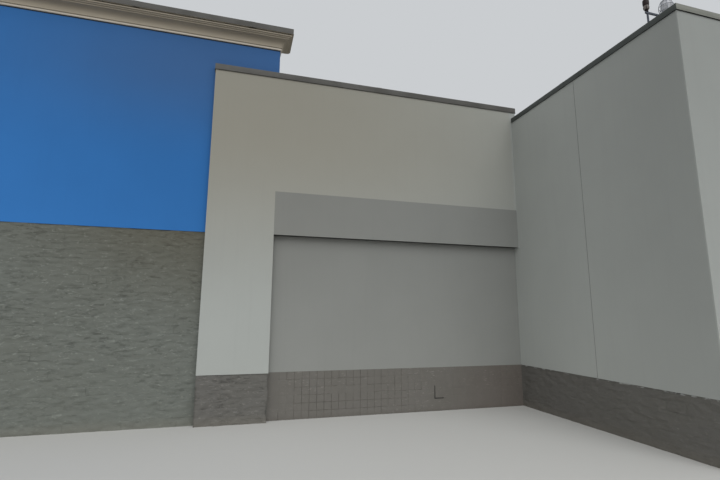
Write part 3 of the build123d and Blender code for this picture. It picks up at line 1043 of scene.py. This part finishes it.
def add_coping(form, low, high, exposed, inset, face_finishes=None):
    """A folded coping over a box. Sides that are not exposed are cut off flush, where the next
    piece or a wall stands against them. Its underside is in the second material."""
    # How far the coping is first made to reach past a side that is cut off
    reach = 0.2
    signs = {"left": (0, -1), "right": (0, 1), "front": (1, -1), "back": (1, 1)}
    start = [low[0], low[1]]
    end = [high[0], high[1]]
    for side, (axis, sign) in signs.items():
        if side not in exposed:
            if sign < 0:
                start[axis] -= reach
            else:
                end[axis] += reach
    work = bmesh.new()
    loops = []
    for across, up in coping_section(high[2] - low[2], inset):
        x = (start[0] + across, end[0] - across)
        y = (start[1] + across, end[1] - across)
        loops.append([work.verts.new((x[i], y[j], low[2] + up))
                      for i, j in ((0, 0), (1, 0), (1, 1), (0, 1))])
    work.faces.new(loops[0][::-1])
    work.faces.new(loops[-1])
    for number, (below, above) in enumerate(zip(loops, loops[1:])):
        for corner, side in enumerate(SIDES):
            after = (corner + 1) % len(SIDES)
            face = work.faces.new((below[corner], below[after], above[after], above[corner]))
            if number < UNDERSIDE_STRIPS:
                face.material_index = 1
            else:
                face.material_index = (face_finishes or {}).get(side, 0)
    for side, (axis, sign) in signs.items():
        if side in exposed:
            continue
        place = Vector(low) if sign < 0 else Vector((high[0], high[1], low[2]))
        outward = Vector((0.0, 0.0, 0.0))
        outward[axis] = sign
        cut = bmesh.ops.bisect_plane(work, geom=work.verts[:] + work.edges[:] + work.faces[:],
                                     plane_co=place, plane_no=outward, clear_outer=True)
        rim = [item for item in cut["geom_cut"] if isinstance(item, bmesh.types.BMEdge)]
        bmesh.ops.contextual_create(work, geom=rim)
    bmesh.ops.remove_doubles(work, verts=work.verts, dist=1e-6)
    form.add_mesh(work)
    work.free()


def add_joint_covers(form, low, high, exposed, settings):
    """Short covers over the joints between the coping's sheets."""
    axis = 0 if high[0] - low[0] > high[1] - low[1] else 1
    sides = {"front", "back"} if axis == 0 else {"left", "right"}
    middle = low[axis] + settings.sheet_length
    while middle + settings.cover_length <= high[axis]:
        start = Vector(low)
        end = Vector(high)
        start[axis] = middle - settings.cover_length / 2
        end[axis] = middle + settings.cover_length / 2
        add_coping(form, start, end, sides & set(exposed), 0.0)
        middle += settings.sheet_length


class SHOP_OT_copings(bpy.types.Operator):
    """Build the folded metal copings with their drip edges and joint covers"""
    bl_idname = "shop.copings"
    bl_label = "Copings"

    def execute(self, context):
        settings = context.scene.shop_copings
        # The pale and side sheets are one coping drawn with painted light and painted shade
        dark, pale, side = [
            prefinished_coping_sheet(f"prefinished_steel_{name}", getattr(settings, name))
            for name in ("dark", "pale", "side")]
        # Near-black painted shade under the wing front coping's drip edge
        drip = joint_sealant("painted_shade_under_drip", "#1E1F1C", "#34352F")
        # Painted light: the cornice coping's underside is drawn light to take out its shadow
        lightened_underside = joint_sealant("painted_light_under_cornice_coping", "#9A9282", "#B4AB9A")
        blue_low, blue_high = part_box("blue_wall")
        head_low, head_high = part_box("head_wall_coping")
        side_low, side_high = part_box("wing_side_coping")
        head_wall_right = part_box("head_wall")[1].x
        head_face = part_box("head_wall")[0].y
        # For each coping its sheet and its runs: the exposed sides, those where it runs on until
        # it meets the next coping's face, and where it starts and ends, if it isn't whole
        all_round = (SIDES, ())
        between = (("left", "right"), ("front", "back"))
        plans = {
            "left_pier_coping": (dark, (("left", "right", "front"), ())),
            "head_wall_coping": (
                dark,
                (("left", "front"), (), head_low.xy, (blue_high.x, blue_low.y)),
                (("right", "front", "back"), (), (blue_high.x, head_low.y), head_high.xy)),
            "cornice_coping": (dark, all_round),
            "left_side_coping": (dark, (("left", "right"), ("back",))),
            "rear_coping": (dark, all_round),
            "roof_step_coping": (dark, between),
            "wing_front_coping": (pale, all_round),
            "wing_side_coping": (
                side,
                (("left", "right"), ("front",), side_low.xy, (side_high.x, head_face)),
                (("right", "back"), (), (head_wall_right, head_face), side_high.xy)),
            "right_side_coping": (pale, between),
            "wing_rear_coping": (pale, (("right", "front", "back"), ())),
        }
        face_inset = DRIP_REACH + settings.sheet_inset
        for node, (sheet, *runs) in plans.items():
            form = Form()
            low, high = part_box(node)
            # The wing front coping's face toward the wing's side takes the side sheet's painted shade
            finishes = {"left": 2} if node == "wing_front_coping" else {}
            for exposed, joined, *ends in runs:
                start, end = ends or (low.xy, high.xy)
                run_low = Vector((*start, low.z))
                run_high = Vector((*end, high.z))
                add_joint_covers(form, run_low, run_high, exposed, settings)
                if "front" in joined:
                    run_low.y -= face_inset
                if "back" in joined:
                    run_high.y += face_inset
                add_coping(form, run_low, run_high, exposed, settings.sheet_inset, finishes)
            # Underneath, painted light on the cornice coping and painted shade on the wing's front
            # one
            under = {"cornice_coping": lightened_underside, "wing_front_coping": drip}.get(node, sheet)
            build_piece(f"{node}_sheet", form, [sheet, under, side], "coping_metal", node)
        return {"FINISHED"}


# Roofs

def inward_mitres(outline):
    """For each corner of an outline in plan, walked with its inside on the left, which way a
    point moves for each metre that it lies inside both of its edges."""
    mitres = []
    for index, corner in enumerate(outline):
        before = Vector(corner) - Vector(outline[index - 1])
        after = Vector(outline[(index + 1) % len(outline)]) - Vector(corner)
        first = Vector((-before.y, before.x)).normalized()
        second = Vector((-after.y, after.x)).normalized()
        mitres.append(tuple(first + second))
    return mitres


def add_laps(form, low, high, top, settings):
    """Raised welded laps between the rolls of sheet, which run along the building."""
    half = settings.lap_width / 2
    rise = settings.lap_height
    chamfer = 0.004
    section = [(-half, 0.0), (-half + chamfer, rise), (half - chamfer, rise), (half, 0.0)]
    along = low[1] + settings.roll_width
    while along < high[1] - half:
        add_run(form, (low[0], along), (high[0], along), (0, 1), (0, 1), section, top, finish=1)
        along += settings.roll_width


class SHOP_OT_roofs(bpy.types.Operator):
    """Lay the roof sheets with their laps and turn them up the walls"""
    bl_idname = "shop.roofs"
    bl_label = "Roofs"

    def execute(self, context):
        settings = context.scene.shop_roofs
        sheet = welded_roof_sheet("welded_roof_sheet", settings.sheet)
        # Dirt gathers along the laps
        laps = welded_roof_sheet("welded_roof_sheet_at_laps", settings.lap)
        deck = primed_ribbed_deck("primed_steel_deck", settings.deck)
        finish_nodes(deck, "roof_deck", "main_roof_deck", "wing_roof_deck")
        finish_nodes(sheet, "roof_membrane", "main_roof_membrane", "wing_roof_membrane")
        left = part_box("left_side_wall")[1].x
        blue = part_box("blue_wall")[1]
        head_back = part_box("head_wall")[1].y
        bay_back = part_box("bay_wall")[1].y
        step_low, step_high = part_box("roof_step_wall")
        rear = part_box("rear_wall")[0].y
        side_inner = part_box("wing_side_wall")[1].x
        right_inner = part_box("right_side_wall")[0].x
        front_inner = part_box("wing_front_wall")[1].y
        hall = [(left, blue.y), (blue.x, blue.y), (blue.x, head_back), (step_low.x, head_back),
                (step_low.x, rear), (left, rear)]
        wing = [(side_inner, front_inner), (right_inner, front_inner), (right_inner, rear),
                (step_high.x, rear), (step_high.x, bay_back), (side_inner, bay_back)]
        rise = settings.upstand_height
        # The sheet turns up over a small fillet and ends under a pressed bar
        section = [(0.0, 0.0), (0.065, 0.0), (0.060, 0.006), (0.014, 0.052), (0.008, 0.070),
                   (0.008, rise - 0.036), (0.014, rise - 0.034), (0.014, rise - 0.004),
                   (0.010, rise), (0.0, rise)]
        # The laps end clear of the fillet
        clear = 0.07
        for name, outline in (("main_roof", hall), ("wing_roof", wing)):
            form = Form()
            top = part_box(f"{name}_membrane")[1].z
            mitres = inward_mitres(outline)
            for index, corner in enumerate(outline):
                after = (index + 1) % len(outline)
                add_run(form, corner, outline[after], mitres[index], mitres[after], section, top,
                        capped=False)
            across = [point[0] for point in outline]
            front = max(point[1] for point in outline[:2])
            add_laps(form, (min(across) + clear, front + clear),
                     (max(across) - clear, rear - clear), top, settings)
            build_piece(f"{name}_laps", form, [sheet, laps], "roof_membrane", weld=1e-6)
        return {"FINISHED"}


# Roof fixture

def around(centre, radius, angle, up):
    """A point at a radius and an angle round an upright axis, up from its foot."""
    return (centre[0] + radius * math.cos(angle), centre[1] + radius * math.sin(angle),
            centre[2] + up)


def round_points(centre, radius, up, count):
    """Evenly spaced points of a level circle round an upright axis."""
    return [around(centre, radius, 2 * math.pi * step / count, up) for step in range(count)]


def upright_path(centre, angle, outline):
    """A path up one side of a turned shape, from its (radius, height) points."""
    return [around(centre, radius, angle, up) for radius, up in outline]


def add_turned(form, centre, outline, finish=0, segments=28):
    """A turned body from (radius, height) points, closed at its foot and top."""
    points = []
    for radius, up in outline:
        points += round_points(centre, radius, up, segments)
    form.add(points, skin_faces(len(outline), segments), finish)


def add_wire(form, path, thickness, closed=False, finish=0, segments=8):
    """A round wire along a path."""
    count = len(path)
    section = [Vector(point) for point in round_points((0.0, 0.0, 0.0), thickness / 2, 0.0,
                                                       segments)]
    points = []
    for index, place in enumerate(path):
        if closed:
            way = Vector(path[(index + 1) % count]) - Vector(path[index - 1])
        else:
            way = Vector(path[min(index + 1, count - 1)]) - Vector(path[max(index - 1, 0)])
        turn = way.to_track_quat("Z", "Y")
        points += [tuple(Vector(place) + turn @ point) for point in section]
    form.add(points, skin_faces(count, segments, closed), finish)


def guard_bulge(share):
    """How far a guard's wire stands out, as a share of the most, from its neck to its top."""
    neck = 0.0757
    return max(0.10, math.sin(math.pi * (neck + (1.0 - neck) * share)) ** 0.6)


def lamp_frame(node):
    """The middle of a lamp's foot, its radius and its height."""
    low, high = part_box(node)
    centre = ((low.x + high.x) / 2, (low.y + high.y) / 2, low.z)
    return centre, (high.x - low.x) / 2, high.z - low.z


def turned_lamp(centre, radius, tall, *parts):
    """A lamp's turned parts, each with its outline in shares of the lamp's radius and height,
    and the number of its material."""
    form = Form()
    for shares, finish in parts:
        add_turned(form, centre, [(radius * out, tall * up) for out, up in shares], finish)
    return form


class SHOP_OT_bracket(bpy.types.Operator):
    """Build the steel posts with their foot plates, and the arm across them"""
    bl_idname = "shop.bracket"
    bl_label = "Roof bracket"

    def execute(self, context):
        steel = galvanised_steel("hot_dip_galvanised_steel", context.scene.shop_fixture.steel)
        low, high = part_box("lamp_posts")
        width = high.y - low.y
        # The foot plates reach past the posts
        reach = 0.045
        plate_thickness = 0.012
        form = Form()
        for left in (low.x, high.x - width):
            add_bar(form, (left, low.y, low.z), (left + width, high.y, high.z))
            add_bar(form, (left - reach, low.y - reach, low.z),
                    (left + width + reach, high.y + reach, low.z + plate_thickness), 0.003)
        build_piece("lamp_posts_steel", form, [steel], "bracket_metal", "lamp_posts")
        form = Form()
        add_bar(form, *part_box("lamp_arm"))
        build_piece("lamp_arm_steel", form, [steel], "bracket_metal", "lamp_arm")
        return {"FINISHED"}


class SHOP_OT_lamps(bpy.types.Operator):
    """Build the small capped lamp and the globe lamp in its wire guard"""
    bl_idname = "shop.lamps"
    bl_label = "Roof lamps"

    def execute(self, context):
        settings = context.scene.shop_fixture
        wire = settings.wire_thickness
        # Outlines are shares of the lamp's radius and height
        centre, radius, tall = lamp_frame("roof_lamp")
        foot = [(0.45, 0.0), (0.45, 0.008 / tall), (0.26, 0.012 / tall), (0.24, 0.10),
                (0.52, 0.13), (0.56, 0.16)]
        lens = [(0.48, 0.16), (0.60, 0.20), (0.64, 0.34), (0.63, 0.46), (0.56, 0.49)]
        hood = [(0.68, 0.48), (0.75, 0.52), (0.80, 0.62), (0.80, 0.80), (0.75, 0.90),
                (0.57, 0.97), (0.25, 0.995), (0.02, 1.0)]
        rib = [(0.50, 0.15), (0.65, 0.21), (0.69, 0.34), (0.68, 0.50)]
        form = turned_lamp(centre, radius, tall, (foot, 0), (lens, 1), (hood, 0))
        # Four ribs of the cap run down over the lens
        outline = [(radius * out, tall * up) for out, up in rib]
        rib_thickness = 0.012
        for number in range(4):
            path = upright_path(centre, math.pi / 2 * (number + 0.5), outline)
            add_wire(form, path, rib_thickness)
        cap_plastic = moulded_lamp_plastic("polycarbonate_cap", settings.cap, 0.55, 0.02)
        lens_plastic = moulded_lamp_plastic("clouded_polycarbonate_lens", settings.lens, 0.45,
                                            0.3)
        build_piece("roof_lamp_housing", form, [cap_plastic, lens_plastic], "lamp_housing",
                    "roof_lamp", sharp_degrees=35.0)

        centre, radius, tall = lamp_frame("guarded_lamp")
        foot = [(0.50, 0.0), (0.50, 0.03 / tall), (0.42, 0.05 / tall), (0.42, 0.16)]
        # The globe swells out from its neck, and narrows to the tip
        neck = 0.36
        swell = 0.38
        half_height = 0.36
        globe_steps = 12
        globe = [(neck, foot[-1][1])]
        for step in range(1, globe_steps):
            angle = math.pi * step / globe_steps
            globe.append((neck + swell * math.sin(angle),
                          foot[-1][1] + half_height * (1 - math.cos(angle))))
        globe.append((0.10, 0.88))
        form = turned_lamp(centre, radius, tall, (foot, 1), (globe, 0))
        outer = radius - wire / 2
        guard_steps = 16
        outline = [(outer * guard_bulge(step / guard_steps),
                    wire / 2 + (tall - wire) * step / guard_steps)
                   for step in range(guard_steps + 1)]
        for number in range(settings.wire_count):
            angle = 2 * math.pi * number / settings.wire_count
            add_wire(form, upright_path(centre, angle, outline), wire, finish=1)
        ring_heights = (0.28, 0.54, 0.80)
        ring_steps = 32
        for share in ring_heights:
            ring = round_points(centre, outer * guard_bulge(share), tall * share, ring_steps)
            add_wire(form, ring, wire, closed=True, finish=1)
        opal = moulded_lamp_plastic("opal_globe", settings.globe, 0.3, 0.3)
        steel = galvanised_steel("galvanised_guard_wire", settings.guard)
        build_piece("guarded_lamp_globe", form, [opal, steel], "guard_wire", "guarded_lamp",
                    sharp_degrees=35.0)
        return {"FINISHED"}


# Stage

def place_camera(scene):
    """The camera at the measured viewpoint: in front of the blue wall, looking right and up."""
    focal_pixels = 433.19
    frame_width = 720
    yaw = math.radians(15.824)
    pitch = math.radians(9.627)
    roll = 0.0050
    place = Vector((-1.628, -19.1195, 2.761))
    ahead = Vector((math.sin(yaw) * math.cos(pitch), math.cos(yaw) * math.cos(pitch),
                    math.sin(pitch)))
    level = Vector((math.cos(yaw), -math.sin(yaw), 0.0))
    above = level.cross(ahead)
    right = level * math.cos(roll) + above * math.sin(roll)
    up = above * math.cos(roll) - level * math.sin(roll)
    data = bpy.data.cameras.new("camera")
    data.lens = focal_pixels / frame_width * data.sensor_width
    data.clip_end = 500.0
    camera = bpy.data.objects.new("camera", data)
    scene.collection.objects.link(camera)
    turn = Matrix((right, up, -ahead)).transposed().to_4x4()
    camera.matrix_world = Matrix.Translation(place) @ turn
    scene.camera = camera


def seen_rays(tree):
    """1 for the rays that show a surface to the camera, straight on, by gloss or through glass."""
    rays = add_node(tree, "ShaderNodeLightPath")
    seen = add_node(tree, "ShaderNodeMath", {0: rays.outputs["Is Camera Ray"],
                                             1: rays.outputs["Is Glossy Ray"]},
                    operation="MAXIMUM")
    return add_node(tree, "ShaderNodeMath", {0: seen.outputs[0],
                                             1: rays.outputs["Is Transmission Ray"]},
                    operation="MAXIMUM").outputs[0]


def plain_floor_paint(settings):
    """Rolled floor paint on a studio floor. The eye gets an even pale grey. Close to the building
    it sends more light back up to the walls than further out."""
    paint = Finish("rolled_floor_paint", rgba(settings.near_floor), Roughness=0.95)
    mirrored = add_node(paint.tree, "ShaderNodeVectorMath", {0: paint.place},
                        operation="ABSOLUTE")
    outside = add_node(paint.tree, "ShaderNodeVectorMath",
                       {0: mirrored.outputs["Vector"], 1: (cad_box[1][0], cad_box[1][1], 0.0)},
                       operation="SUBTRACT")
    outside = add_node(paint.tree, "ShaderNodeVectorMath",
                       {0: outside.outputs["Vector"], 1: (0.0, 0.0, 0.0)}, operation="MAXIMUM")
    far = add_node(paint.tree, "ShaderNodeVectorMath", {0: outside.outputs["Vector"]},
                   operation="LENGTH")
    away = add_node(paint.tree, "ShaderNodeMapRange",
                    {"Value": far.outputs["Value"], "From Min": 1.5, "From Max": 8.0},
                    interpolation_type="SMOOTHSTEP")
    paint.lay(1.0, rgba(settings.floor, 0.10), away.outputs[0])
    paint.lay(1.0, rgba(settings.floor), seen_rays(paint.tree))
    return paint.done()


class SHOP_OT_stage(bpy.types.Operator):
    """Set the camera, the floor and the soft light"""
    bl_idname = "shop.stage"
    bl_label = "Stage"

    def execute(self, context):
        scene = context.scene
        settings = scene.shop_stage
        scene.view_settings.view_transform = "Standard"
        place_camera(scene)
        reach = 260.0
        mesh = bpy.data.meshes.new("floor")
        mesh.from_pydata([(-reach, -reach, 0.0), (reach, -reach, 0.0), (reach, reach, 0.0),
                          (-reach, reach, 0.0)], [], [(0, 1, 2, 3)])
        mesh.materials.append(plain_floor_paint(settings))
        floor = bpy.data.objects.new("floor", mesh)
        scene.collection.objects.link(floor)
        world = bpy.data.worlds.new("even_light")
        world.use_nodes = True
        scene.world = world
        tree = world.node_tree
        tree.nodes.clear()
        lit = add_node(tree, "ShaderNodeBackground",
                       {"Color": (1.0, 1.0, 1.0, 1.0), "Strength": settings.even_light})
        shown = add_node(tree, "ShaderNodeBackground",
                         {"Color": rgba(settings.backdrop), "Strength": 1.0})
        mix = add_node(tree, "ShaderNodeMixShader", {0: seen_rays(tree), 1: lit.outputs[0],
                                                     2: shown.outputs[0]})
        add_node(tree, "ShaderNodeOutputWorld", {"Surface": mix.outputs[0]})
        lamp_data = bpy.data.lights.new("soft_lamp", "SUN")
        lamp_data.energy = settings.lamp
        # A lamp as wide as this gives soft shadows
        lamp_data.angle = math.radians(55.0)
        lamp = bpy.data.objects.new("soft_lamp", lamp_data)
        scene.collection.objects.link(lamp)
        # The lamp shines from straight in front of the building, and from high up
        height = math.radians(42.0)
        shine = Vector((0.0, math.cos(height), -math.sin(height)))
        lamp.rotation_mode = "QUATERNION"
        lamp.rotation_quaternion = shine.to_track_quat("-Z", "Y")
        return {"FINISHED"}


# Sidebar

class SHOP_PT_pieces(bpy.types.Panel):
    """Lists the pieces of the shop building with their settings"""
    bl_idname = "SHOP_PT_pieces"
    bl_label = "Supermarket Building"
    bl_space_type = "VIEW_3D"
    bl_region_type = "UI"
    bl_category = "Shop"

    def draw(self, context):
        layout = self.layout
        for name, kind, operators in SECTIONS:
            box = layout.box()
            settings = getattr(context.scene, name)
            for field in kind.__annotations__:
                box.prop(settings, field)
            for operator in operators:
                box.operator(operator.bl_idname)


SECTIONS = (
    ("shop_stage", StageSettings, (SHOP_OT_stage,)),
    ("shop_coats", CoatSettings, (SHOP_OT_wall_coats,)),
    ("shop_blocks", BlockSettings, (SHOP_OT_split_face_bases, SHOP_OT_scored_base,
                                    SHOP_OT_cover_plate)),
    ("shop_moulding", MouldingSettings, (SHOP_OT_cornice,)),
    ("shop_copings", CopingSettings, (SHOP_OT_copings,)),
    ("shop_roofs", RoofSettings, (SHOP_OT_roofs,)),
    ("shop_fixture", FixtureSettings, (SHOP_OT_bracket, SHOP_OT_lamps)),
)


def register():
    """Registers the settings, the operators and the panel."""
    for name, kind, operators in SECTIONS:
        bpy.utils.register_class(kind)
        setattr(bpy.types.Scene, name, PointerProperty(type=kind))
        for operator in operators:
            bpy.utils.register_class(operator)
    bpy.utils.register_class(SHOP_PT_pieces)


def unregister():
    """Takes them away again, last first."""
    bpy.utils.unregister_class(SHOP_PT_pieces)
    for name, kind, operators in reversed(SECTIONS):
        for operator in reversed(operators):
            bpy.utils.unregister_class(operator)
        delattr(bpy.types.Scene, name)
        bpy.utils.unregister_class(kind)


def main():
    """Builds the stage and every piece in order."""
    register()
    bpy.ops.shop.stage()
    bpy.ops.shop.wall_coats()
    bpy.ops.shop.split_face_bases()
    bpy.ops.shop.scored_base()
    bpy.ops.shop.cover_plate()
    bpy.ops.shop.cornice()
    bpy.ops.shop.copings()
    bpy.ops.shop.roofs()
    bpy.ops.shop.bracket()
    bpy.ops.shop.lamps()


if __name__ == "__main__":
    main()
